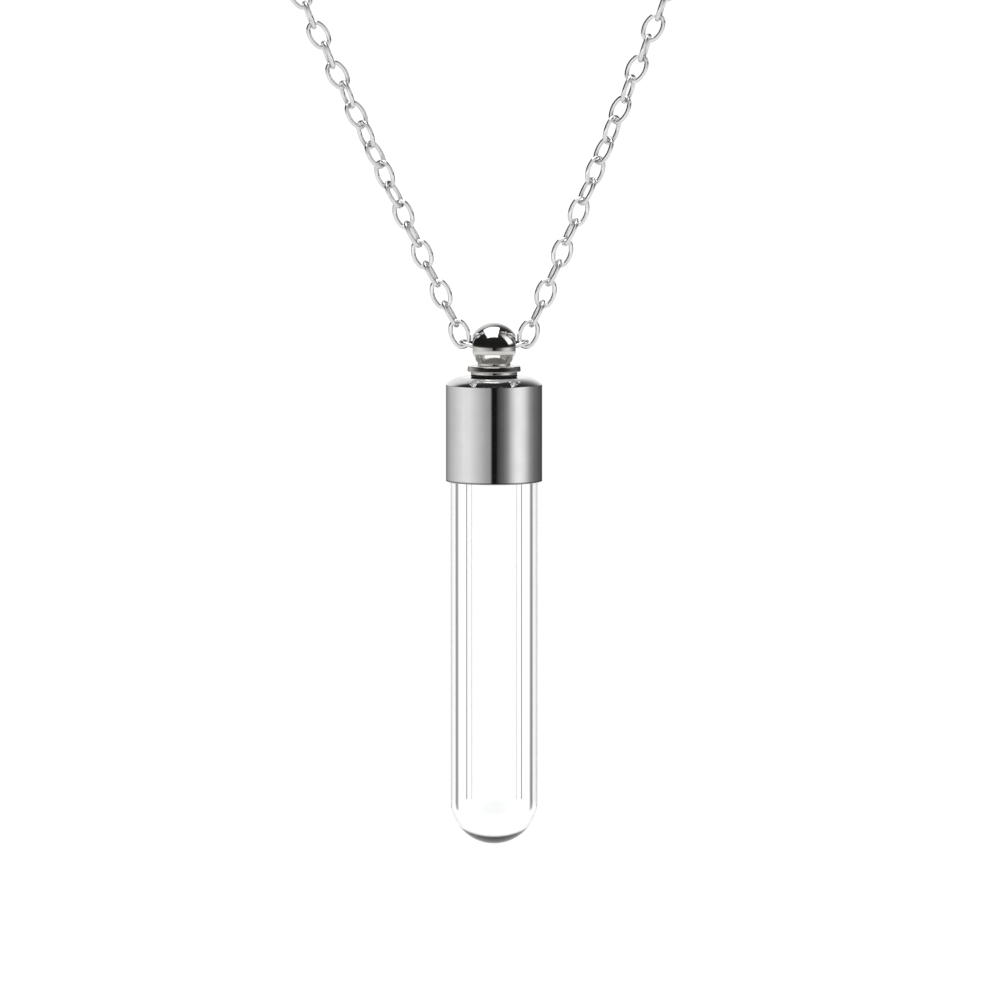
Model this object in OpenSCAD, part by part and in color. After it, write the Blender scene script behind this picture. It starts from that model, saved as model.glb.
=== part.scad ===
// Glass vial pendant on a cable chain necklace.
// A round-bottomed glass tube is glued into a polished cap. A stopper with a drilled ball
// screws into the cap over a thin rubber seal, and the chain passes through the ball.
// Millimetres. +Z is up and the front faces -Y. The origin is the middle of the clasp, at
// the top of the loop, where the necklace lies on the nape or hangs.

/* [Glass vial] */
// Outside diameter of the glass tube
vial_od = 6.0; // [5:0.1:9]
// Thickness of the side wall
vial_wall = 1.4; // [0.8:0.05:1.6]
// Thickness of the round bottom at its lowest point
vial_floor = 1.65; // [1:0.05:3]
// Length of glass that shows below the cap
vial_show = 25.05; // [12:0.05:45]

/* [Cap] */
// Thickness of the skirt around the glass
cap_wall = 0.3; // [0.2:0.05:0.8]
// Height from the skirt's lower edge to the flat top
cap_h = 7.2; // [5:0.1:12]
// Thickness of the plate that the stopper screws into
cap_plate = 1.3; // [1:0.05:2.5]
// Height of the rounded shoulder
shoulder_h = 0.52; // [0.3:0.02:0.8]
// Width of the rounded shoulder, from the flat top out to the side
shoulder_w = 0.92; // [0.5:0.02:1]
// Radius of the shoulder's curve
shoulder_r = 2.0; // [1.2:0.1:4]

/* [Stopper] */
// Diameter of the ball
ball_d = 3.46; // [3:0.02:6]
// Bevel around each mouth of the ball's bore
mouth_bevel = 0.06; // [0.02:0.02:0.2]
// Depth below the ball's middle at which its underside starts to taper
taper_start = 0.35; // [0.2:0.05:0.6]
// Diameter of the neck under the ball
neck_d = 2.25; // [1.6:0.05:2.8]
// Depth of the neck's upper end below the ball's middle
neck_start = 1.03; // [0.9:0.01:1.3]
// Height of the neck
neck_h = 0.19; // [0.1:0.01:1]
// Diameter of the flange
flange_d = 3.7; // [3:0.1:4.4]
// Thickness of the flange
flange_h = 0.39; // [0.3:0.01:1]
// Lean of the flange's side inward from the vertical, in degrees
flange_lean = 6; // [0:0.5:12]
// Bevel on the flange's two edges
flange_bevel = 0.05; // [0.02:0.01:0.12]
// Diameter of the step under the flange
step_d = 3.2; // [2.6:0.05:3.6]
// Height of the step under the flange
step_h = 0.19; // [0.1:0.01:0.6]
// Diameter of the screw
screw_d = 1.9; // [1.4:0.05:2.3]
// Length of the screw below the step
screw_h = 2.2; // [1.6:0.1:4]

/* [Seal] */
// Diameter of the rubber seal
seal_d = 3.2; // [3:0.1:4.4]
// Thickness of the rubber seal
seal_h = 0.14; // [0.1:0.02:0.5]

/* [Chain] */
// Diameter of the wire
wire_d = 0.31; // [0.2:0.005:0.35]
// Outside width of a link
link_w = 1.5; // [1.4:0.02:2]
// Extra radius of a link's bends, past the room of the wire that hangs in them
bend_ease = 0.07; // [0.04:0.01:0.1]
// Length that a link adds to a chain pulled straight
link_pitch = 1.521; // [1.3:0.001:2.4]
// Length of the whole loop, with the clasp
loop_length = 450; // [380:5:600]
// Links of each arm that are made as links, counted up from the ball
shown_links = 20; // [8:1:40]
// Lean of the left arm from the vertical, in degrees
left_lean = 25.2; // [18:0.1:32]
// Lean of the right arm from the vertical, in degrees
right_lean = 22; // [18:0.1:32]
// Distance that the links stand to either side of the arm's line
sway = 0.08; // [0:0.005:0.1]

/* [Clasp] */
// Outside diameter of the clasp's ring
clasp_d = 6.0; // [5:0.1:8]
// Wire of the clasp's ring
clasp_wire = 1.2; // [0.9:0.1:1.6]
// Outside diameter of the clasp's tail loop
tail_d = 2.6; // [2.4:0.1:3.6]
// Wire of the clasp's tail loop
tail_wire = 0.6; // [0.4:0.05:0.8]
// Outside diameter of the ring on the chain's other end
end_ring_d = 3.6; // [3.4:0.1:5]
// Wire of that ring
end_ring_wire = 0.5; // [0.4:0.05:0.7]

/* [Fits] */
// Gap between two interlocked wires
link_gap = 0.115; // [0.115:0.005:0.15]
// Gap between a link and the bore of the ball, to either side
bore_gap = 0.11; // [0.1:0.01:0.3]
// Gap between flat faces that meet
seat_gap = 0.02; // [0.01:0.01:0.05]
// Gap around the glass, filled with glue on the real pendant
glue_gap = 0.03; // [0.02:0.01:0.1]
// Gap between the screw and its hole
screw_gap = 0.05; // [0.02:0.01:0.1]

/* [Hidden] */
$fn = 48;
LEFT = -1;
RIGHT = 1;

// Tilt from the vertical of the link next to the ball, on either side, in degrees
FIRST_TILT = 19;
// Height above the bore's axis at which the chain leaves the ball
MOUTH_RISE = 0.25;
// Distance from the ball's surface to where the chain turns up
MOUTH_REACH = 0.38;
// The chain twists slowly to and fro about its own line: links from the ball until the twist has
// built up, the least twist in degrees and the link that has it, half of the twist's change in
// degrees, and links from one least twist to the next
TWIST_BUILD = 8;
TWIST_LEAST = 16;
TWIST_LEAST_LINK = 6;
TWIST_HALF = 33;
TWIST_PERIOD = 24;
// Sides and rings of the plain stretch of chain
TUBE_SIDES = 8;
TUBE_RINGS = 38;
// Small chamfers of the cap's lower edge and the glass's mouth
EDGE = 0.08;
// A cutter reaches this far past the face that it opens
PAST = 1;

// Heights below the ball's middle, one piece under the next
flange_top = -neck_start - neck_h;
step_top = flange_top - flange_h;
step_foot = step_top - step_h;
seal_top = step_foot - seat_gap;
seal_foot = seal_top - seal_h;
cap_top = seal_foot - seat_gap;
cap_foot = cap_top - cap_h;
vial_top = cap_top - cap_plate - seat_gap;
vial_foot = cap_foot - vial_show;

ball_r = ball_d / 2;
bore_d = link_w + 2 * bore_gap;
vial_r = vial_od / 2;
cap_r = vial_r + glue_gap + cap_wall;

// Distance between the middles of two wires that hang in each other
wire_step = wire_d + link_gap;
// How far a link's tip reaches past the point where it hangs in the next one
tip = wire_step / 2 + wire_d / 2;
// Half of the length and half of the width of a link, to the middle of its wire
half_l = (link_pitch + wire_step) / 2;
half_w = (link_w - wire_d) / 2;
// A link is an oval of four arcs. The bends at its ends have this radius, and their middles lie
// this far from the link's middle.
bend_r = wire_step + bend_ease;
bend_x = half_l - bend_r;
// Each bend takes this angle to either side of the link's tip, in whole hundredths of a degree so
// that the ends of the arcs meet. The curved sides then have this radius, and their middles lie
// this far across from the link's middle.
bend_angle = round(100 * (90 - 2 * atan((half_w - bend_r) / bend_x))) / 100;
side_r = bend_r + bend_x / cos(bend_angle);
side_y = bend_x * tan(bend_angle);
// Length that a link adds along an arm's line, as the links lean to and fro
link_step = sqrt(link_pitch ^ 2 - (2 * sway) ^ 2);

// Where the chain leaves the ball, and the links on each side of the bore's middle link that
// reach from it to there
mouth = [ball_r + MOUTH_REACH, MOUTH_RISE];
bore_links = ceil(mouth.x / link_pitch - 1 / 2);

// The clasp: middles of its tail loop and of the end ring, and where the chain's two ends hang
tail_x = -(clasp_d + tail_d - tail_wire) / 2;
end_ring_x = (clasp_d + end_ring_d) / 2 - clasp_wire - end_ring_wire - link_gap;
left_end = -tail_x + tail_d / 2 - tail_wire - link_gap / 2;
right_end = end_ring_x + end_ring_d / 2 - end_ring_wire - link_gap / 2;

// Each side of the loop is a straight arm from its start, and then an arc of the neck's radius
// whose middle is above the ball. Distances are outward and upward from the ball's middle.
function lean(side) = side == LEFT ? left_lean : right_lean;
function end_x(side) = side == LEFT ? left_end : right_end;
first_end = mouth + link_pitch * [sin(FIRST_TILT), cos(FIRST_TILT)];
function start(side) = first_end + sway * [cos(lean(side)), -sin(lean(side))];
function arm_run(side, r) = r / tan(lean(side)) - start(side).x / sin(lean(side));
function side_run(side, r) = arm_run(side, r) + r * (90 + lean(side)) * PI / 180 - end_x(side);
function arc_z(side, r) = start(side).y + (r - start(side).x * cos(lean(side))) / sin(lean(side));
function top_z(side, r) = arc_z(side, r) + r;

// The right arc's radius gives both arcs the same top, and the left one gives the loop its length
function right_r_for(r) = (top_z(LEFT, r) - top_z(RIGHT, 0)) / (top_z(RIGHT, 1) - top_z(RIGHT, 0));
function both_runs(r) = side_run(LEFT, r) + side_run(RIGHT, right_r_for(r));
fixed_run = 2 * (mouth.x + link_pitch) + left_end + right_end;
left_r = (loop_length - fixed_run - both_runs(0)) / (both_runs(1) - both_runs(0));
right_r = right_r_for(left_r);
ball_z = -top_z(LEFT, left_r) + left_r - sqrt(left_r ^ 2 - left_end ^ 2);

function side_r(side) = side == LEFT ? left_r : right_r;
function run(side) = side_run(side, side_r(side));
function links_in(side) = round(run(side) / link_step);
function side_pitch(side) = run(side) / links_in(side);

// A point of the chain's line, a distance s along a side from its start, and its direction there
// as an angle from the outward horizontal
function arc_turn(side, s) = max(0, s - arm_run(side, side_r(side))) / side_r(side) * 180 / PI;
function heading(side, s) = 90 - lean(side) + arc_turn(side, s);
function route(side, s) =
    let (r = side_r(side), straight = min(s, arm_run(side, r)), turn = arc_turn(side, s) - lean(side))
    turn == -lean(side)
        ? start(side) + straight * [sin(lean(side)), cos(lean(side))]
        : [0, arc_z(side, r)] + r * [cos(turn), sin(turn)];

// Links are counted outward from the bore's middle link, which is number 0. This is the point
// where link k of a side hangs in the next one.
function hang_point(side, k) =
    k < bore_links ? [mouth.x * (2 * k + 1) / (2 * bore_links + 1), 0]
    : k == bore_links ? mouth
    : let (s = (k - bore_links - 1) * side_pitch(side), a = heading(side, s),
           out = (k - bore_links) % 2 == 0 ? sway : -sway)
      route(side, s) + out * [sin(a), -cos(a)];
function unit(v) = v / norm(v);
function direction(side, k) =
    k == 0 ? [1, 0] : unit(hang_point(side, k) - hang_point(side, k - 1));

// Turn of a link about its own length, 0 when it lies flat to the front
function twist(k) =
    min(1, k / TWIST_BUILD)
    * (TWIST_LEAST + TWIST_HALF * (1 - cos(360 * (k - TWIST_LEAST_LINK) / TWIST_PERIOD)));
function roll(k) = (k % 2 == 0 ? 0 : 90) + twist(k);

// Two wires that hang in each other lie one behind the other along the link that is flatter to
// the front, because the chain bends in that link's plane. From the hanging point, the middle of
// each wire is half a step along this pull or against it.
function pull(side, k) =
    unit(cos(roll(k)) ^ 2 * direction(side, k) + cos(roll(k + 1)) ^ 2 * direction(side, k + 1));
function outer_wire(side, k) = hang_point(side, k) + wire_step / 2 * pull(side, k);
function inner_wire(side, k) = hang_point(side, k - 1) - wire_step / 2 * pull(side, k - 1);

module glass_vial() {
    bore_r = vial_r - vial_wall;
    side_h = vial_top - vial_foot - vial_r - EDGE;
    color([0.93, 0.96, 0.97, 0.35])
    translate([0, 0, vial_foot + vial_r])
    difference() {
        union() {
            sphere(r = vial_r);
            cylinder(r = vial_r, h = side_h);
            translate([0, 0, side_h]) cylinder(r1 = vial_r, r2 = vial_r - EDGE, h = EDGE);
        }
        translate([0, 0, vial_floor + bore_r - vial_r]) {
            sphere(r = bore_r);
            cylinder(r = bore_r, h = side_h + vial_r + PAST);
        }
    }
}

// Middle of an arc of radius r from the shoulder's inner end to its outer end
function shoulder_middle() =
    let (a = [cap_r - shoulder_w, 0], b = [cap_r, -shoulder_h], chord = norm(b - a))
    (a + b) / 2 + sqrt(shoulder_r ^ 2 - chord ^ 2 / 4) / chord * [(b - a).y, -(b - a).x];

module cap_side_view() {
    flat_r = cap_r - shoulder_w;
    square([cap_r - EDGE, cap_h - shoulder_h]);
    translate([0, EDGE]) square([cap_r, cap_h - shoulder_h - EDGE]);
    polygon([[cap_r - EDGE, 0], [cap_r, EDGE], [cap_r - EDGE, EDGE]]);
    square([flat_r, cap_h]);
    translate([0, cap_h])
    intersection() {
        translate(shoulder_middle()) circle(r = shoulder_r);
        translate([flat_r, -shoulder_h]) square([shoulder_w, shoulder_h]);
    }
}

module cap() {
    color([0.72, 0.72, 0.73])
    translate([0, 0, cap_foot])
    difference() {
        rotate_extrude() cap_side_view();
        translate([0, 0, -PAST]) cylinder(r = vial_r + glue_gap, h = cap_h - cap_plate + PAST);
        cylinder(d = screw_d + 2 * screw_gap, h = cap_h + PAST);
    }
}

module seal() {
    color([0.05, 0.05, 0.05])
    translate([0, 0, seal_foot])
    difference() {
        cylinder(d = seal_d, h = seal_h);
        translate([0, 0, -PAST]) cylinder(d = screw_d + 2 * screw_gap, h = seal_h + 2 * PAST);
    }
}

module ball() {
    mouth_x = sqrt(ball_r ^ 2 - bore_d ^ 2 / 4);
    difference() {
        intersection() {
            sphere(r = ball_r);
            union() {
                translate([0, 0, -taper_start]) cylinder(r = ball_r + PAST, h = ball_d);
                translate([0, 0, -neck_start])
                    cylinder(d1 = neck_d, r2 = sqrt(ball_r ^ 2 - taper_start ^ 2),
                             h = neck_start - taper_start);
            }
        }
        rotate([0, 90, 0]) cylinder(d = bore_d, h = ball_d + 2 * PAST, center = true);
        for (turn = [0, 180])
            rotate([0, 90, turn])
            translate([0, 0, mouth_x - mouth_bevel])
            cylinder(d1 = bore_d, r2 = bore_d / 2 + mouth_bevel + PAST, h = mouth_bevel + PAST);
    }
}

module flange() {
    rim = flange_d / 2;
    side_h = flange_h - 2 * flange_bevel;
    top_rim = rim - side_h * tan(flange_lean);
    translate([0, 0, step_top]) cylinder(r1 = rim - flange_bevel, r2 = rim, h = flange_bevel);
    translate([0, 0, step_top + flange_bevel]) cylinder(r1 = rim, r2 = top_rim, h = side_h);
    translate([0, 0, flange_top - flange_bevel])
        cylinder(r1 = top_rim, r2 = top_rim - flange_bevel, h = flange_bevel);
}

module stopper() {
    color([0.42, 0.41, 0.4]) {
        ball();
        translate([0, 0, flange_top]) cylinder(d = neck_d, h = neck_h);
        flange();
        translate([0, 0, step_foot]) cylinder(d = step_d, h = step_h);
        translate([0, 0, step_foot - screw_h]) cylinder(d = screw_d, h = screw_h);
    }
}

// A ring of round wire, flat to the front
module ring(outside, wire) {
    rotate([90, 0, 0])
    rotate_extrude()
    translate([(outside - wire) / 2, 0]) circle(d = wire);
}

// A stretch of wire bent to a radius, from one angle to another
module wire_arc(r, first, last) {
    rotate([0, 0, first])
        rotate_extrude(angle = last - first)
        translate([r, 0]) circle(d = wire_d);
}

// One link, lengthwise along X and flat to the front
module link() {
    for (turn = [0, 180])
        rotate([90, turn, 0]) {
            translate([bend_x, 0, 0]) wire_arc(bend_r, -bend_angle, bend_angle);
            translate([0, -side_y, 0]) wire_arc(side_r, bend_angle, 180 - bend_angle);
        }
}

// A link between the middles of its two end wires, turned about its own length
module link_between(a, b, turn) {
    translate([(a.x + b.x) / 2, 0, (a.y + b.y) / 2])
        rotate([0, -atan2(b.y - a.y, b.x - a.x), 0])
        rotate([turn, 0, 0])
        link();
}

module side_links(side) {
    for (k = [1 : bore_links + shown_links]) {
        a = inner_wire(side, k);
        b = outer_wire(side, k);
        link_between([side * a.x, a.y], [side * b.x, b.y], side * roll(k));
    }
}

module chain_front() {
    color([0.82, 0.82, 0.84]) {
        link_between(-outer_wire(LEFT, 0), outer_wire(RIGHT, 0), roll(0));
        side_links(LEFT);
        side_links(RIGHT);
    }
}

// The rest of the chain on one side, as a plain tube of the links' width, from just past the last
// link up to the clasp
module plain_chain(side) {
    first_s = (shown_links - 1) * side_pitch(side) + tip + link_gap;
    last_s = run(side) - (side == LEFT ? tail_wire : end_ring_wire) - 1.5 * link_gap;
    points = [
        for (i = [0 : TUBE_RINGS - 1])
            let (s = first_s + (last_s - first_s) * i / (TUBE_RINGS - 1),
                 p = route(side, s), a = heading(side, s))
            for (k = [0 : TUBE_SIDES - 1])
                let (w = 360 * k / TUBE_SIDES, q = p + link_w / 2 * cos(w) * [sin(a), -cos(a)])
                [side * q.x, -side * link_w / 2 * sin(w), q.y]
    ];
    walls = [
        for (i = [0 : TUBE_RINGS - 2], k = [0 : TUBE_SIDES - 1])
            let (next = (k + 1) % TUBE_SIDES, near = i * TUBE_SIDES, far = near + TUBE_SIDES)
            [near + k, near + next, far + next, far + k]
    ];
    first_end = [for (k = [TUBE_SIDES - 1 : -1 : 0]) k];
    last_end = [for (k = [0 : TUBE_SIDES - 1]) (TUBE_RINGS - 1) * TUBE_SIDES + k];
    polyhedron(points = points, faces = concat(walls, [first_end, last_end]));
}

module chain_back() {
    color([0.82, 0.82, 0.84]) {
        plain_chain(LEFT);
        plain_chain(RIGHT);
    }
}

module clasp() {
    color([0.8, 0.8, 0.82]) {
        ring(clasp_d, clasp_wire);
        translate([tail_x, 0, 0]) ring(tail_d, tail_wire);
    }
}

module end_ring() {
    color([0.8, 0.8, 0.82])
    translate([end_ring_x, 0, 0])
        rotate([90, 0, 0])
        ring(end_ring_d, end_ring_wire);
}

// Pieces that are drawn from the ball's middle
module at_ball() translate([0, 0, ball_z]) children();

at_ball() glass_vial();
at_ball() cap();
at_ball() seal();
at_ball() stopper();
at_ball() chain_front();
at_ball() chain_back();
clasp();
end_ring();
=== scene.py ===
"""Looks of the glass vial pendant on its cable chain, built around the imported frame."""
from math import acos, asin, atan2, ceil, cos, hypot, pi, radians, sin, sqrt, tan

import bmesh
import bpy
import numpy as np
from mathutils import Matrix, Vector
from mathutils.bvhtree import BVHTree
from mathutils.geometry import barycentric_transform


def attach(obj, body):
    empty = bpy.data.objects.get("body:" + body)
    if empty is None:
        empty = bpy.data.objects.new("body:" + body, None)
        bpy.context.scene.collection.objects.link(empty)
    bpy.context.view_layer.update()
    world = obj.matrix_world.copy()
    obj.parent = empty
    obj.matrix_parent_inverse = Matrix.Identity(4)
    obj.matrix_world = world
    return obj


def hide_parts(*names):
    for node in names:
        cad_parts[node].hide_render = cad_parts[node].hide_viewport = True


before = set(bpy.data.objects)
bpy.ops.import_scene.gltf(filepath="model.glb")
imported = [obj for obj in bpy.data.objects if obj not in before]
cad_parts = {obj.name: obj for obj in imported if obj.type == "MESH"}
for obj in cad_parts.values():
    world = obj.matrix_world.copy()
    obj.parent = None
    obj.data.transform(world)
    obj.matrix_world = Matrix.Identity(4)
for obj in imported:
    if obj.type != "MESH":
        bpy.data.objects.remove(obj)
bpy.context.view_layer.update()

MM = 0.001

# Sizes of the part, in millimetres, as in its source
vial_od, vial_wall, vial_floor, vial_show = 6.0, 1.4, 1.65, 25.05
cap_wall, cap_h, cap_plate = 0.3, 7.2, 1.3
shoulder_h, shoulder_w, shoulder_r = 0.52, 0.92, 2.0
ball_d, mouth_bevel, taper_start = 3.46, 0.06, 0.35
neck_d, neck_start, neck_h = 2.25, 1.03, 0.19
flange_d, flange_h, flange_lean = 3.7, 0.39, 6
step_d, step_h, screw_d, screw_h = 3.2, 0.19, 1.9, 2.2
seal_d, seal_h, thread_pitch = 3.2, 0.14, 0.4
wire_d, link_w, bend_ease, link_pitch = 0.31, 1.5, 0.07, 1.521
loop_length, shown_links = 450, 20
left_lean, right_lean, sway = 25.2, 22, 0.08
clasp_d, clasp_wire, tail_d, tail_wire = 6.0, 1.2, 2.6, 0.6
end_ring_d, end_ring_wire = 3.6, 0.5
link_gap, bore_gap, seat_gap, glue_gap, screw_gap = 0.115, 0.11, 0.02, 0.03, 0.05
LEFT, RIGHT = -1, 1
# The first link outside the ball: its tilt off the upright in degrees, and how far its lower
# end stands above and beside the ball
FIRST_TILT = 19
MOUTH_RISE, MOUTH_REACH = 0.25, 0.38
# Each link's turn about its own length: it builds up over the first links and then swings
# between a least and a greatest value, in degrees, once in a period of links
TWIST_BUILD, TWIST_LEAST, TWIST_LEAST_LINK, TWIST_HALF, TWIST_PERIOD = 8, 16, 6, 33, 24
# Gap between two interlocked wires here, where the links nearly touch as the real ones do
touch_gap = 0.015

# Heights below the ball's middle, one piece under the next
flange_top = -neck_start - neck_h
step_top = flange_top - flange_h
step_foot = step_top - step_h
seal_top = step_foot - seat_gap
seal_foot = seal_top - seal_h
cap_top = seal_foot - seat_gap
cap_foot = cap_top - cap_h
vial_top = cap_top - cap_plate - seat_gap
vial_foot = cap_foot - vial_show
ball_r, vial_r, bore_r = ball_d / 2, vial_od / 2, vial_od / 2 - vial_wall
ball_bore_r = link_w / 2 + bore_gap
mouth_x = sqrt(ball_r ** 2 - ball_bore_r ** 2)
cap_r = vial_r + glue_gap + cap_wall


# The chain's line, worked out as in the part's source

wire_step = wire_d + touch_gap
bend_r = wire_d + link_gap + bend_ease
bend_x = (link_pitch + wire_step) / 2 - bend_r
bend_angle = pi / 2 - 2 * atan2((link_w - wire_d) / 2 - bend_r, bend_x)
side_r, side_y = bend_r + bend_x / cos(bend_angle), bend_x * tan(bend_angle)
link_step = sqrt(link_pitch ** 2 - (2 * sway) ** 2)
mouth = np.array([ball_r + MOUTH_REACH, MOUTH_RISE])
bore_links = ceil(mouth[0] / link_pitch - 0.5)
tail_x = -(clasp_d + tail_d - tail_wire) / 2
end_ring_x = (clasp_d + end_ring_d) / 2 - clasp_wire - end_ring_wire - link_gap
END_X = {LEFT: -tail_x + tail_d / 2 - tail_wire - link_gap / 2,
         RIGHT: end_ring_x + end_ring_d / 2 - end_ring_wire - link_gap / 2}
LEAN = {LEFT: radians(left_lean), RIGHT: radians(right_lean)}


def start(side):
    tilt, lean = radians(FIRST_TILT), LEAN[side]
    first_end = mouth + link_pitch * np.array([sin(tilt), cos(tilt)])
    return first_end + sway * np.array([cos(lean), -sin(lean)])


def arm_run(side, r):
    return r / tan(LEAN[side]) - start(side)[0] / sin(LEAN[side])


def side_run(side, r):
    return arm_run(side, r) + r * (pi / 2 + LEAN[side]) - END_X[side]


def arc_z(side, r):
    return start(side)[1] + (r - start(side)[0] * cos(LEAN[side])) / sin(LEAN[side])


def right_r_for(r):
    zero = arc_z(RIGHT, 0)
    return (arc_z(LEFT, r) + r - zero) / (arc_z(RIGHT, 1) + 1 - zero)


def both_runs(r):
    return side_run(LEFT, r) + side_run(RIGHT, right_r_for(r))


fixed_run = 2 * (mouth[0] + link_pitch) + END_X[LEFT] + END_X[RIGHT]
left_r = (loop_length - fixed_run - both_runs(0)) / (both_runs(1) - both_runs(0))
ARC_R = {LEFT: left_r, RIGHT: right_r_for(left_r)}
ball_z = -arc_z(LEFT, left_r) - sqrt(left_r ** 2 - END_X[LEFT] ** 2)
RUN = {side: side_run(side, ARC_R[side]) for side in (LEFT, RIGHT)}
LINKS_IN = {side: round(RUN[side] / link_step) for side in (LEFT, RIGHT)}
LAST = {side: bore_links + 1 + LINKS_IN[side] for side in (LEFT, RIGHT)}


def ending(side, k, reach):
    """Falls from 1 to 0 over the last links before the clasp."""
    t = min(1, (LAST[side] - k) / reach)
    return t * t * (3 - 2 * t)


def hang_point(side, k):
    if k < bore_links:
        return np.array([mouth[0] * (2 * k + 1) / (2 * bore_links + 1), 0])
    if k == bore_links:
        return mouth
    r, lean = ARC_R[side], LEAN[side]
    s = (k - bore_links - 1) * RUN[side] / LINKS_IN[side]
    turn = max(0, s - arm_run(side, r)) / r
    a = pi / 2 - lean + turn
    if turn == 0:
        p = start(side) + s * np.array([sin(lean), cos(lean)])
    else:
        p = np.array([0, arc_z(side, r)]) + r * np.array([cos(turn - lean), sin(turn - lean)])
    out = sway * ending(side, k, 4) * (1 if (k - bore_links) % 2 == 0 else -1)
    return p + out * np.array([sin(a), -cos(a)])


def unit(v):
    return v / np.linalg.norm(v)


def direction(side, k):
    return np.array([1, 0]) if k == 0 else unit(hang_point(side, k) - hang_point(side, k - 1))


def roll(side, k):
    twist = TWIST_LEAST + TWIST_HALF * (1 - cos(2 * pi * (k - TWIST_LEAST_LINK) / TWIST_PERIOD))
    twist *= min(1, k / TWIST_BUILD) * ending(side, k, 14)
    return radians((0 if k % 2 == 0 else 90) + twist)


def pull(side, k):
    if k == LAST[side]:
        return direction(side, k)
    return unit(cos(roll(side, k)) ** 2 * direction(side, k)
                + cos(roll(side, k + 1)) ** 2 * direction(side, k + 1))


def outer_wire(side, k):
    return hang_point(side, k) + wire_step / 2 * pull(side, k)


def inner_wire(side, k):
    return hang_point(side, k - 1) - wire_step / 2 * pull(side, k - 1)


# Mesh builders

def piece(name, points, faces, normals):
    """A smooth mesh object from points in millimetres and their normals."""
    mesh = bpy.data.meshes.new(name)
    mesh.from_pydata((np.array(points) * MM).tolist(), [], faces)
    mesh.shade_smooth()
    mesh.normals_split_custom_set_from_vertices(normals)
    obj = bpy.data.objects.new(name, mesh)
    bpy.context.scene.collection.objects.link(obj)
    return obj


def left_of(d):
    return np.array([-d[1], d[0]])


def outline(corners, closed=False, steps=6):
    """Rounds each corner (r, z, fillet) of an outline and gives points with their normals, which
    lie to the left of its run. A fillet of 0 keeps the corner as one smooth point."""
    pts = [np.array(c[:2], float) for c in corners]
    out = []
    for i, p in enumerate(pts):
        before = unit(p - pts[i - 1]) if i or closed else None
        after = unit(pts[(i + 1) % len(pts)] - p) if i + 1 < len(pts) or closed else None
        if before is None or after is None:
            out.append((p, left_of(after if before is None else before)))
            continue
        bend = acos(max(-1, min(1, float(before @ after))))
        fillet = corners[i][2]
        if fillet == 0 or bend < 1e-4:
            out.append((p, left_of(unit(before + after))))
            continue
        turn = 1 if before[0] * after[1] - before[1] * after[0] > 0 else -1
        middle = p - fillet * tan(bend / 2) * before + turn * fillet * left_of(before)
        for j in range(steps + 1):
            a = turn * bend * j / steps
            n = left_of([before[0] * cos(a) - before[1] * sin(a),
                         before[0] * sin(a) + before[1] * cos(a)])
            out.append((middle - turn * fillet * n, n))
    return out


def arc(middle, r, first, last, steps):
    """Smooth points of an arc between two angles, without its ends."""
    return [(middle[0] + r * cos(first + (last - first) * i / steps),
             middle[1] + r * sin(first + (last - first) * i / steps), 0)
            for i in range(1, steps)]


def lathe(name, profile, closed=False, sides=144, swell=None, centre=ball_z):
    """Turns an outline about the upright axis. It runs downward on the outside of the solid.
    A swell gives the change of the radius at an angle and a height."""
    points, normals, rings = [], [], []
    for (r, z), (nr, nz) in profile:
        if r < 1e-6:
            rings.append([len(points)])
            points.append((0, 0, z + centre))
            normals.append((0, 0, 1 if nz > 0 else -1))
            continue
        rings.append(list(range(len(points), len(points) + sides)))
        for k in range(sides):
            a, step = 2 * pi * k / sides, 1e-4
            change = along = up = 0
            if swell:
                change = swell(a, z)
                along = (swell(a + step, z) - change) / step / r
                up = (swell(a, z + step) - change) / step
            points.append(((r + change) * cos(a), (r + change) * sin(a), z + centre))
            n = unit(np.array([nr * cos(a) + nr * along * sin(a),
                               nr * sin(a) - nr * along * cos(a), nz - nr * up]))
            normals.append(tuple(n))
    faces = []
    for a, b in zip(rings, rings[1:] + rings[:1] if closed else rings[1:]):
        for k in range(sides):
            j = (k + 1) % sides
            if len(a) == 1:
                faces.append((a[0], b[k], b[j]))
            elif len(b) == 1:
                faces.append((a[k], b[0], a[j]))
            else:
                faces.append((a[k], b[k], b[j], a[j]))
    return piece(name, points, faces, normals)


def surface_of(obj, flip):
    """The triangles of a piece for finding a nearest point, with the normals of their corners."""
    mesh = obj.data
    mesh.calc_loop_triangles()
    points = [v.co.copy() for v in mesh.vertices]
    corners = [tuple(t.vertices) for t in mesh.loop_triangles]
    at = {}
    for loop, n in zip(mesh.loops, mesh.corner_normals):
        at[loop.vertex_index] = -n.vector if flip else n.vector.copy()
    return BVHTree.FromPolygons(points, corners), points, corners, at


def bore_out(obj, cutter):
    """Cuts a drilled shape out of a piece, and takes the exact normals from the two surfaces."""
    sources = [surface_of(obj, False), surface_of(cutter, True)]
    cut = obj.modifiers.new("bore", "BOOLEAN")
    cut.operation, cut.solver, cut.object = "DIFFERENCE", "EXACT", cutter
    bpy.context.view_layer.update()
    shape = obj.evaluated_get(bpy.context.evaluated_depsgraph_get())
    mesh = bpy.data.meshes.new_from_object(shape)
    obj.modifiers.remove(cut)
    obj.data = mesh
    normals = [None] * len(mesh.loops)
    for face in mesh.polygons:
        found = [s[0].find_nearest(face.center)[3] for s in sources]
        tree, points, corners, at = sources[0 if found[0] <= found[1] else 1]
        for i in face.loop_indices:
            co = mesh.vertices[mesh.loops[i].vertex_index].co
            spot, _, tri, _ = tree.find_nearest(co)
            a, b, c = corners[tri]
            normals[i] = barycentric_transform(spot, points[a], points[b], points[c],
                                               at[a], at[b], at[c]).normalized()
    mesh.shade_smooth()
    mesh.normals_split_custom_set(normals)
    bpy.data.objects.remove(cutter)


# Glass vial

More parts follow.
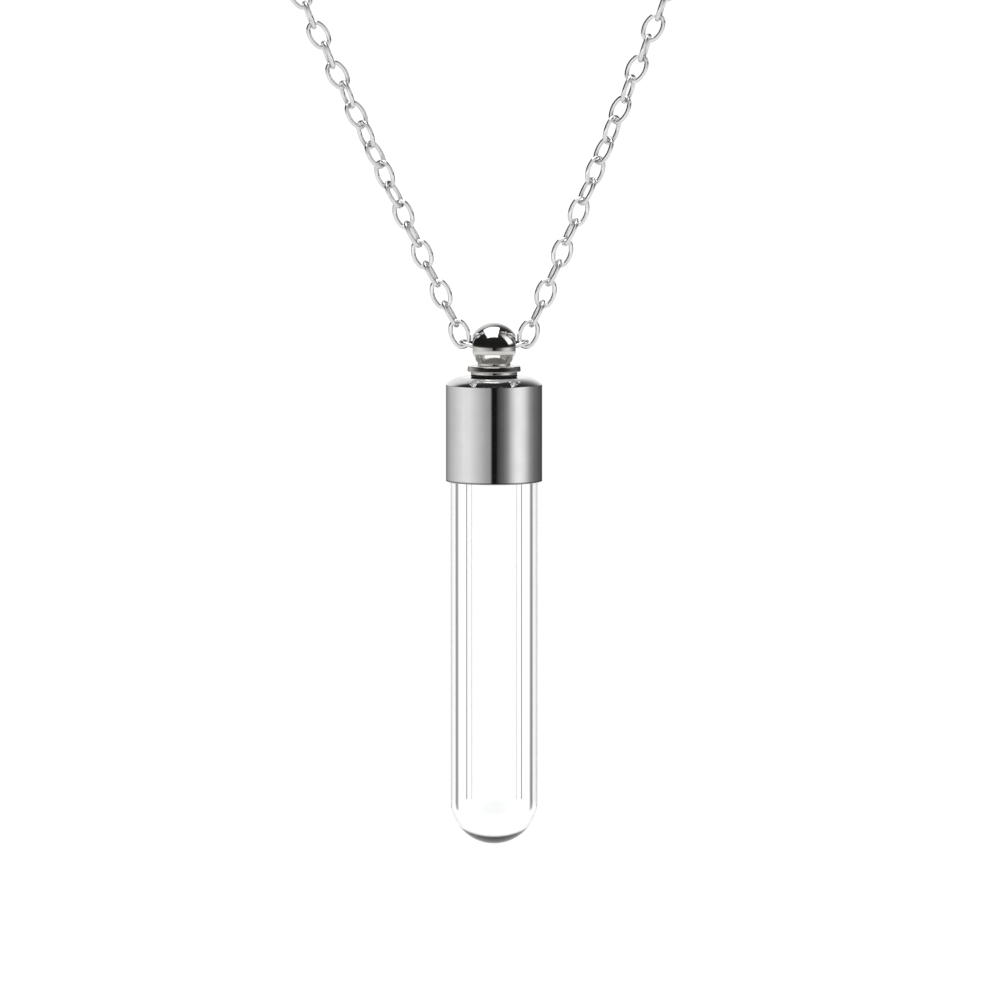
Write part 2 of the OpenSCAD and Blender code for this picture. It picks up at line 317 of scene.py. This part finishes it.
def vial():
    inner_z, outer_z = vial_foot + vial_floor + bore_r, vial_foot + vial_r
    corners = [(0, inner_z - bore_r, 0)]
    corners += arc((0, inner_z), bore_r, -pi / 2, 0, 24)
    corners += [(bore_r, inner_z, 0), (bore_r, vial_top, 0.35), (vial_r, vial_top, 0.35)]
    corners += [(vial_r, outer_z, 0)]
    corners += arc((0, outer_z), vial_r, 0, -pi / 2, 32)
    corners += [(0, vial_foot, 0)]
    profile = outline(corners, steps=10)
    exact = []
    for p, n in profile:
        if p[1] <= inner_z + 1e-9 and hypot(p[0], p[1] - inner_z) < bore_r + 1e-6:
            n = (np.array([0, inner_z]) - p) / bore_r
        elif p[1] <= outer_z + 1e-9:
            n = (p - np.array([0, outer_z])) / vial_r
        exact.append((p, n))
    return lathe("vial_glass", exact, sides=192)


# Cap

def cap():
    flat_r, hole_r, skirt_r = cap_r - shoulder_w, screw_d / 2 + screw_gap, vial_r + glue_gap
    a, b = np.array([flat_r, 0]), np.array([cap_r, -shoulder_h])
    chord = np.linalg.norm(b - a)
    middle = (a + b) / 2 + sqrt(shoulder_r ** 2 - chord ** 2 / 4) * left_of(a - b) / chord
    first, last = [atan2(p[1] - middle[1], p[0] - middle[0]) for p in (a, b)]
    corners = [(hole_r, cap_top, 0.08), (flat_r, cap_top, 0.25)]
    corners += arc((middle[0], middle[1] + cap_top), shoulder_r, first, last, 14)
    corners += [(cap_r, cap_top - shoulder_h, 0.05), (cap_r, cap_foot, 0.07),
                (skirt_r, cap_foot, 0.06), (skirt_r, cap_top - cap_plate, 0.1),
                (hole_r, cap_top - cap_plate, 0.05)]
    return lathe("cap_shell", outline(corners, closed=True), closed=True)


# Rubber seal

def seal():
    hole_r = screw_d / 2 + screw_gap
    corners = [(hole_r, seal_top, 0.03), (seal_d / 2, seal_top, 0.05),
               (seal_d / 2, seal_foot, 0.05), (hole_r, seal_foot, 0.03)]
    return lathe("seal_washer", outline(corners, closed=True), closed=True)


# Stopper with its threaded screw and drilled ball

# The rolled thread: its distance from the step and from the screw's foot, the heights over which
# it fades there, and half its depth
THREAD_TOP, THREAD_FOOT, FADE_TOP, FADE_FOOT, THREAD_HALF = 0.25, 0.12, 0.15, 0.2, 0.075
# The rows of points that carry the thread: their spacing and where they start
ROW_STEP, ROWS_TOP = 0.03, 0.15


def thread(a, z):
    """Change of the screw's radius where the thread is rolled in. It is 0 at the crest."""
    top, foot = step_foot - THREAD_TOP, step_foot - screw_h + THREAD_FOOT
    if not foot < z < top:
        return 0
    ends = min(1, (top - z) / FADE_TOP, (z - foot) / FADE_FOOT)
    return -THREAD_HALF * ends * (1 + cos(2 * pi * z / thread_pitch - a))


def stopper():
    turn = asin(taper_start / ball_r)
    corners = [(0, ball_r, 0)]
    corners += arc((0, 0), ball_r, pi / 2, 0.08 - turn, 72)
    screw_r, foot = screw_d / 2, step_foot - screw_h
    corners += [(ball_r * cos(turn), -taper_start, 0.2), (neck_d / 2, -neck_start, 0.08),
                (neck_d / 2, flange_top, 0.04),
                (flange_d / 2 - flange_h * tan(radians(flange_lean)), flange_top, 0.06),
                (flange_d / 2, step_top, 0.06), (step_d / 2, step_top, 0.03),
                (step_d / 2, step_foot, 0.03), (screw_r, step_foot, 0.05)]
    rows = int((screw_h - THREAD_TOP) / ROW_STEP)
    corners += [(screw_r, step_foot - ROWS_TOP - (screw_h - THREAD_TOP) * i / rows, 0)
                for i in range(rows)]
    corners += [(screw_r, foot + 0.1, 0.02), (screw_r - 0.1, foot, 0.02), (0, foot, 0)]
    body = lathe("stopper_body", outline(corners), swell=thread)
    flare, reach = mouth_x - mouth_bevel, ball_r + 0.4
    wide = ball_bore_r + reach - flare
    drill = lathe("drill", outline([
        (0, reach, 0), (wide, reach, 0.05), (ball_bore_r, flare, 0.15),
        (ball_bore_r, -flare, 0.15), (wide, -reach, 0.05), (0, -reach, 0)]), sides=96, centre=0)
    drill.data.transform(Matrix.Translation((0, 0, ball_z * MM)) @ Matrix.Rotation(pi / 2, 4, "Y"))
    bore_out(body, drill)
    return body


# Chain links. Each is an oval of four arcs, as in the part's source.

def oval(bend_steps, side_steps):
    """The middle line of a link's wire, lengthwise, as points and the directions outward there."""
    half = [(bend_x + bend_r * cos(w), bend_r * sin(w), cos(w), sin(w))
            for w in np.linspace(-bend_angle, bend_angle, bend_steps + 1)[:-1]]
    half += [(side_r * cos(w), side_r * sin(w) - side_y, cos(w), sin(w))
             for w in np.linspace(bend_angle, pi - bend_angle, side_steps + 1)[:-1]]
    return np.array(half + [tuple(-v for v in p) for p in half])


def link(a, b, turn, line, wire_sides, points, faces, normals):
    """Adds one link between the middles of its two end wires, turned about its own length."""
    along = atan2(b[1] - a[1], b[0] - a[0])
    middle = np.array([(a[0] + b[0]) / 2, 0, (a[1] + b[1]) / 2])
    x = np.array([cos(along), 0, sin(along)])
    up = np.array([-sin(along), 0, cos(along)])
    y = np.array([0, cos(turn), 0]) + sin(turn) * up
    z = np.array([0, -sin(turn), 0]) + cos(turn) * up
    first = len(points)
    for px, pz, out_x, out_z in line:
        p, out = middle + px * x + pz * z, out_x * x + out_z * z
        for k in range(wire_sides):
            w = 2 * pi * k / wire_sides
            n = cos(w) * out + sin(w) * y
            points.append(tuple(p + wire_d / 2 * n))
            normals.append(tuple(n))
    for i in range(len(line)):
        near, far = i * wire_sides + first, (i + 1) % len(line) * wire_sides + first
        for k in range(wire_sides):
            j = (k + 1) % wire_sides
            faces.append((near + k, near + j, far + j, far + k))


def chain(name, numbers, line, wire_sides):
    """A stretch of chain on both sides, from the numbers of its first and last links on each.
    Number 0 is the one link in the middle of the ball."""
    points, faces, normals = [], [], []
    for side, (first, last) in numbers.items():
        for k in range(first, last + 1):
            a, b = inner_wire(side, k), outer_wire(side, k)
            if k == 0:
                a = -outer_wire(-side, 0)
            link((side * a[0], a[1] + ball_z), (side * b[0], b[1] + ball_z),
                 side * roll(side, k), line, wire_sides, points, faces, normals)
    return piece(name, points, faces, normals)


def front_links():
    last = bore_links + shown_links
    return chain("front_links", {LEFT: (1, last), RIGHT: (0, last)}, oval(12, 8), 16)


def back_links():
    first = bore_links + shown_links + 1
    return chain("back_links", {side: (first, LAST[side]) for side in LAST}, oval(7, 4), 8)


# Materials

# Heights that bumps in the steel and the glass are worked out from, in metres
MARK_H, DENT_H = 0.00001, 0.00002


class Nodes:
    """A material's node tree with short calls."""

    def __init__(self, name):
        self.material = bpy.data.materials.new(name)
        self.material.use_nodes = True
        self.tree = self.material.node_tree
        self.shader = self.tree.nodes["Principled BSDF"]
        self.place = self.add("ShaderNodeTexCoord").outputs["Object"]

    def add(self, kind, **values):
        node = self.tree.nodes.new(kind)
        for key, value in values.items():
            if hasattr(node, key):
                setattr(node, key, value)
            else:
                node.inputs[key].default_value = value
        return node

    def join(self, a, b):
        self.tree.links.new(a, b)

    def noise(self, scale, detail=3.0, stretch=(1, 1, 1), seed=0.0):
        """Noise over the piece, in waves a metre, stretched along some axes."""
        mapping = self.add("ShaderNodeMapping")
        mapping.inputs["Scale"].default_value = stretch
        mapping.inputs["Location"].default_value = (seed, seed * 0.7, seed * 1.3)
        self.join(self.place, mapping.inputs["Vector"])
        node = self.add("ShaderNodeTexNoise", Scale=scale, Detail=detail)
        self.join(mapping.outputs["Vector"], node.inputs["Vector"])
        return node.outputs["Fac"]

    def spread(self, value, low, high, start=0.3, end=0.7):
        node = self.add("ShaderNodeMapRange")
        node.inputs["From Min"].default_value = start
        node.inputs["From Max"].default_value = end
        node.inputs["To Min"].default_value = low
        node.inputs["To Max"].default_value = high
        self.join(value, node.inputs["Value"])
        return node.outputs["Result"]

    def mix(self, share, low, high):
        """A colour between two others. Each may be plain numbers or another node's output."""
        node = self.add("ShaderNodeMix", data_type="RGBA")
        self.join(share, node.inputs["Factor"])
        for socket, value in zip([i for i in node.inputs if i.type == "RGBA"], (low, high)):
            if isinstance(value, tuple):
                socket.default_value = (*value, 1)
            else:
                self.join(value, socket)
        return [o for o in node.outputs if o.type == "RGBA"][0]

    def paint(self, colour):
        self.join(colour, self.shader.inputs["Base Color"])

    def height(self):
        """Height over the part's origin, in metres."""
        parts = self.add("ShaderNodeSeparateXYZ")
        self.join(self.place, parts.inputs["Vector"])
        return parts.outputs["Z"]

    def bump(self, value, strength, distance, below=None):
        node = self.add("ShaderNodeBump", Strength=strength, Distance=distance)
        self.join(value, node.inputs["Height"])
        if below is not None:
            self.join(below, node.inputs["Normal"])
        return node.outputs["Normal"]


def steel(name, low, high, rough, marks, mark_depth, painted_shade_below=None):
    """Polished steel with faint polishing marks, clouds of slight haze and small dents. It may
    have a dark band of painted shade below some height."""
    m = Nodes(name)
    m.shader.inputs["Metallic"].default_value = 1.0
    tint = m.mix(m.spread(m.noise(900, 4), 0, 1), low, high)
    if painted_shade_below is not None:
        # Painted shade: the colour fades to a dark grey below the given height
        shade_mask = m.spread(m.height(), 0, 1, painted_shade_below, painted_shade_below + SHADE_FADE)
        tint = m.mix(shade_mask, SHADE_TINT, tint)
    m.paint(tint)
    m.join(m.spread(m.noise(700, 5, seed=3), *rough), m.shader.inputs["Roughness"])
    fine = m.bump(m.noise(1, 2, stretch=marks, seed=5), mark_depth, MARK_H)
    dents = m.bump(m.noise(2600, 1, seed=9), mark_depth, DENT_H, below=fine)
    m.join(dents, m.shader.inputs["Normal"])
    return m.material


def clear_glass():
    """Clear glass with a very slight wave from its drawing and a trace of haze."""
    m = Nodes("clear_glass")
    m.shader.inputs["Base Color"].default_value = (0.985, 0.995, 0.992, 1)
    m.shader.inputs["Transmission Weight"].default_value = 1.0
    m.shader.inputs["IOR"].default_value = 1.47
    m.join(m.spread(m.noise(500, 4), 0.0, 0.02), m.shader.inputs["Roughness"])
    wave = m.bump(m.noise(1, 1, stretch=(500, 500, 60)), 0.05, DENT_H)
    m.join(wave, m.shader.inputs["Normal"])
    return m.material


def black_rubber():
    """Black moulded rubber with a fine grain."""
    m = Nodes("black_rubber")
    m.paint(m.mix(m.spread(m.noise(4000, 4), 0, 1), (0.008, 0.008, 0.008), (0.03, 0.03, 0.03)))
    m.join(m.spread(m.noise(2500, 3, seed=2), 0.45, 0.65), m.shader.inputs["Roughness"])
    m.join(m.bump(m.noise(12000, 3), 0.2, DENT_H), m.shader.inputs["Normal"])
    return m.material


def wear(obj, material):
    obj.data.materials.clear()
    obj.data.materials.append(material)


# The cap's painted shade, a dark band at its foot where it meets the glass: its colour, its height
# and the height over which it fades
SHADE_TINT, SHADE_H, SHADE_FADE = (0.22, 0.22, 0.22), 0.1 * MM, 0.06 * MM

# The cap's foot gets a band of painted shade where it meets the glass
cap_steel = steel("cap_steel", (0.70, 0.70, 0.71), (0.75, 0.75, 0.76), (0.03, 0.07),
                  (200, 200, 30000), 0.03, painted_shade_below=(cap_foot + ball_z) * MM + SHADE_H)
stopper_steel = steel("stopper_steel", (0.56, 0.545, 0.525), (0.64, 0.625, 0.605), (0.06, 0.11),
                      (300, 300, 20000), 0.02)
chain_steel = steel("chain_steel", (0.60, 0.60, 0.61), (0.68, 0.68, 0.69), (0.14, 0.2),
                    (1500, 1500, 1500), 0.015)
clasp_steel = steel("clasp_steel", (0.78, 0.78, 0.80), (0.85, 0.85, 0.87), (0.05, 0.12),
                    (3000, 3000, 3000), 0.05)

drilled_stopper, chain_pieces = stopper(), [front_links(), back_links()]
for obj, body, node, slot, material in (
        (vial(), "vial", "glass_vial", "glass", clear_glass()),
        (cap(), "vial", "cap", "cap_steel", cap_steel),
        (seal(), "seal", "seal", "seal_rubber", black_rubber()),
        (drilled_stopper, "stopper", "stopper", "stopper_steel", stopper_steel),
        (chain_pieces[0], "necklace", "chain_front", "chain_steel", chain_steel),
        (chain_pieces[1], "necklace", "chain_back", "chain_steel", chain_steel)):
    wear(obj, material)
    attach(obj, body)
    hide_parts(node)
for node in ("clasp", "end_ring"):
    wear(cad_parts[node], clasp_steel)


# Studio: a pale room with a dark ceiling, two soft panels, a floor under the hanging part

FLOOR_Z, FLOOR_R = -0.30, 0.5
# The floor glows a little by itself, because the room's ceiling is dark
FLOOR_GLOW = 0.5


def floor():
    mesh = bpy.data.meshes.new("floor")
    grid = bmesh.new()
    bmesh.ops.create_circle(grid, cap_ends=True, radius=FLOOR_R, segments=96,
                            matrix=Matrix.Translation((0, 0, FLOOR_Z)))
    grid.to_mesh(mesh)
    grid.free()
    obj = bpy.data.objects.new("floor", mesh)
    bpy.context.scene.collection.objects.link(obj)
    m = Nodes("floor_paint")
    m.paint(m.mix(m.spread(m.noise(6, 3), 0, 1), (0.90, 0.90, 0.90), (0.93, 0.93, 0.93)))
    m.shader.inputs["Roughness"].default_value = 0.9
    m.shader.inputs["Specular IOR Level"].default_value = 0.1
    m.shader.inputs["Emission Color"].default_value = (1, 1, 1, 1)
    m.shader.inputs["Emission Strength"].default_value = FLOOR_GLOW
    wear(obj, m.material)


# Brightness of the room round the part at eye level, by the angle from the front to the right,
# as the polished cap shows it
RING = [(-180, 1.1), (-172, 1.0), (-164, 0.2), (-150, 0.34), (-124, 0.61), (-106, 0.76),
        (-78, 1.0), (-61, 0.98), (-40, 0.74), (-20, 0.48), (-9, 0.38), (-5, 0.01), (5, 0.01),
        (9, 0.06), (23, 0.17), (33, 0.35), (43, 0.73), (53, 1.03), (64, 1.12), (76, 0.96),
        (89, 0.56), (96, 0.37), (111, 0.2), (144, 0.1), (160, 0.07), (170, 1.0), (180, 1.1)]
# The same from just above eye level upward. The whole room leans forward as it rises, by this
# many degrees for each degree of height, and it has one bright window on the right.
HIGH = [(-180, 1.0), (-150, 0.95), (-134, 0.8), (-118, 0.05), (-100, 0.02), (100, 0.02),
        (116, 0.12), (150, 0.2), (165, 0.9), (180, 1.0)]
HIGH_LEAN = 0.4
# Brightness of the window, the ceiling, the room below eye level and the backdrop that the camera
# sees, and of the room above eye level in light that has bounced before
WINDOW, CEILING, LOW_ROOM, BACKDROP, BOUNCED = 2.0, 0.03, 0.9, 1.1, 0.6
# What the glass shows through itself: a bright room with a narrow dark gap on either side
THROUGH = [(-180, 1.12), (-139, 1.12), (-136, 0.25), (-131, 0.25), (-128, 1.12), (-110, 1.05),
           (-95, 0.7), (95, 0.7), (110, 1.05), (128, 1.12), (131, 0.25), (136, 0.25), (139, 1.12),
           (180, 1.12)]
# The same above and below eye level
THROUGH_HIGH, THROUGH_LOW = 1.12, 0.8
# Both panels: middle, size and brightness. The middles are in metres, with heights over the ball.
OVERHEAD_X, OVERHEAD_Y, OVERHEAD_UP = -0.083, -0.0455, 0.5
OVERHEAD_SIZE, OVERHEAD_LIGHT = (0.449, 0.591), 3.2
FRONT_Y, FRONT_UP, FRONT_SIZE, FRONT_LIGHT = -0.55, 0.1, (1.0, 0.9), 0.9
# The camera: lens and sensor in millimetres, the height of its view in degrees, its distance, and
# the point it looks at, to the right and above the glass's foot, in metres
LENS, SENSOR, VIEW_HEIGHT, DISTANCE, AIM_X, AIM_UP = 400, 36, 5.0, 0.7638, 0.000405, 0.02375


def studio():
    world = bpy.data.worlds.new("studio")
    bpy.context.scene.world = world
    world.use_nodes = True
    tree = world.node_tree
    tree.nodes.clear()

    def add(kind, **values):
        node = tree.nodes.new(kind)
        for key, value in values.items():
            setattr(node, key, value)
        return node

    def math(operation, a, b=None, c=None):
        node = add("ShaderNodeMath", operation=operation)
        for socket, value in zip(node.inputs, (a, b, c)):
            if value is None:
                continue
            if isinstance(value, (int, float)):
                socket.default_value = value
            else:
                tree.links.new(value, socket)
        return node.outputs[0]

    def blend(low, high, share):
        return math("ADD", math("MULTIPLY", low, math("SUBTRACT", 1, share)),
                    math("MULTIPLY", high, share))

    def ramp(angle, stops):
        """Brightness by an angle in degrees. The ramp holds a quarter of each value."""
        node = add("ShaderNodeValToRGB")
        tree.links.new(math("ADD", math("DIVIDE", angle, 360), 0.5), node.inputs["Fac"])
        elements = node.color_ramp.elements
        for i, (at, value) in enumerate(stops):
            e = elements[i] if i < 2 else elements.new(1)
            e.position = at / 360 + 0.5
            e.color = (value / 4, value / 4, value / 4, 1)
        return math("MULTIPLY", node.outputs["Color"], 4)

    def step(value, low, high):
        node = add("ShaderNodeMapRange", interpolation_type="SMOOTHSTEP")
        tree.links.new(value, node.inputs["Value"])
        node.inputs["From Min"].default_value = low
        node.inputs["From Max"].default_value = high
        return node.outputs["Result"]

    way = add("ShaderNodeTexCoord").outputs["Generated"]
    parts = add("ShaderNodeSeparateXYZ")
    tree.links.new(way, parts.inputs[0])
    x, y, z = parts.outputs
    turn = math("DEGREES", math("ARCTAN2", x, math("MULTIPLY", y, -1)))
    height = math("DEGREES", math("ARCSINE", z))
    path = add("ShaderNodeLightPath").outputs

    def band(value, rise, fall):
        """1 between two values, with soft ends from each pair's first value to its second."""
        return math("MULTIPLY", step(value, *rise), math("SUBTRACT", 1, step(value, *fall)))

    high_turn = math("ADD", turn, math("MULTIPLY", height, HIGH_LEAN))
    window = math("MULTIPLY", band(high_turn, (76, 81), (104, 112)), step(height, 10, 18))
    above = blend(ramp(turn, RING), ramp(high_turn, HIGH), step(height, 0, 6))
    above = blend(above, WINDOW, window)
    # The dark ceiling comes lower behind on the right. Light that has bounced before finds an
    # even brightness instead.
    side = math("MULTIPLY", math("MULTIPLY", x, math("MAXIMUM", y, 0)), 75)
    above = blend(above, CEILING, step(math("ADD", height, side), 22, 72))
    bounced = math("MAXIMUM", path["Is Diffuse Ray"], step(path["Ray Depth"], 2, 3))
    above = blend(above, BOUNCED, bounced)
    room = blend(LOW_ROOM, above, step(height, -14, -8))
    glass = blend(ramp(turn, THROUGH), THROUGH_HIGH, step(height, 3, 10))
    glass = blend(glass, 0, band(height, (33, 41), (74, 84)))
    glass = blend(THROUGH_LOW, glass, step(height, -50, -22))
    light = blend(room, glass, path["Is Transmission Ray"])
    light = blend(light, BACKDROP, path["Is Camera Ray"])
    background = add("ShaderNodeBackground")
    background.inputs["Color"].default_value = (1, 1, 1, 1)
    tree.links.new(light, background.inputs["Strength"])
    tree.links.new(background.outputs[0], add("ShaderNodeOutputWorld").inputs["Surface"])


def soft_panel(name, middle, turn, width, depth, brightness, lit):
    """A soft light of an even brightness that only some pieces see."""
    data = bpy.data.lights.new(name, "AREA")
    data.shape, data.size, data.size_y = "RECTANGLE", width, depth
    data.energy = brightness * pi * width * depth
    obj = bpy.data.objects.new(name, data)
    bpy.context.scene.collection.objects.link(obj)
    obj.location, obj.rotation_euler = middle, (turn, 0, 0)
    seen_by = bpy.data.collections.new(name)
    for lit_piece in lit:
        seen_by.objects.link(lit_piece)
    obj.light_linking.receiver_collection = seen_by


def camera():
    data = bpy.data.cameras.new("camera")
    data.lens, data.sensor_width, data.clip_start = LENS, SENSOR, 0.01
    obj = bpy.data.objects.new("camera", data)
    bpy.context.scene.collection.objects.link(obj)
    height = radians(VIEW_HEIGHT)
    aim = Vector((AIM_X, 0, (ball_z + vial_foot) * MM + AIM_UP))
    back = Vector((0, -cos(height), sin(height)))
    obj.location = aim + DISTANCE * back
    obj.rotation_euler = back.to_track_quat("Z", "Y").to_euler()
    bpy.context.scene.camera = obj


floor()
studio()
soft_panel("overhead_panel", (OVERHEAD_X, OVERHEAD_Y, ball_z * MM + OVERHEAD_UP), 0,
           *OVERHEAD_SIZE, OVERHEAD_LIGHT, [drilled_stopper, *chain_pieces])
soft_panel("front_panel", (0, FRONT_Y, ball_z * MM + FRONT_UP), pi / 2,
           *FRONT_SIZE, FRONT_LIGHT, chain_pieces)
camera()
bpy.context.scene.view_settings.view_transform = "Standard"
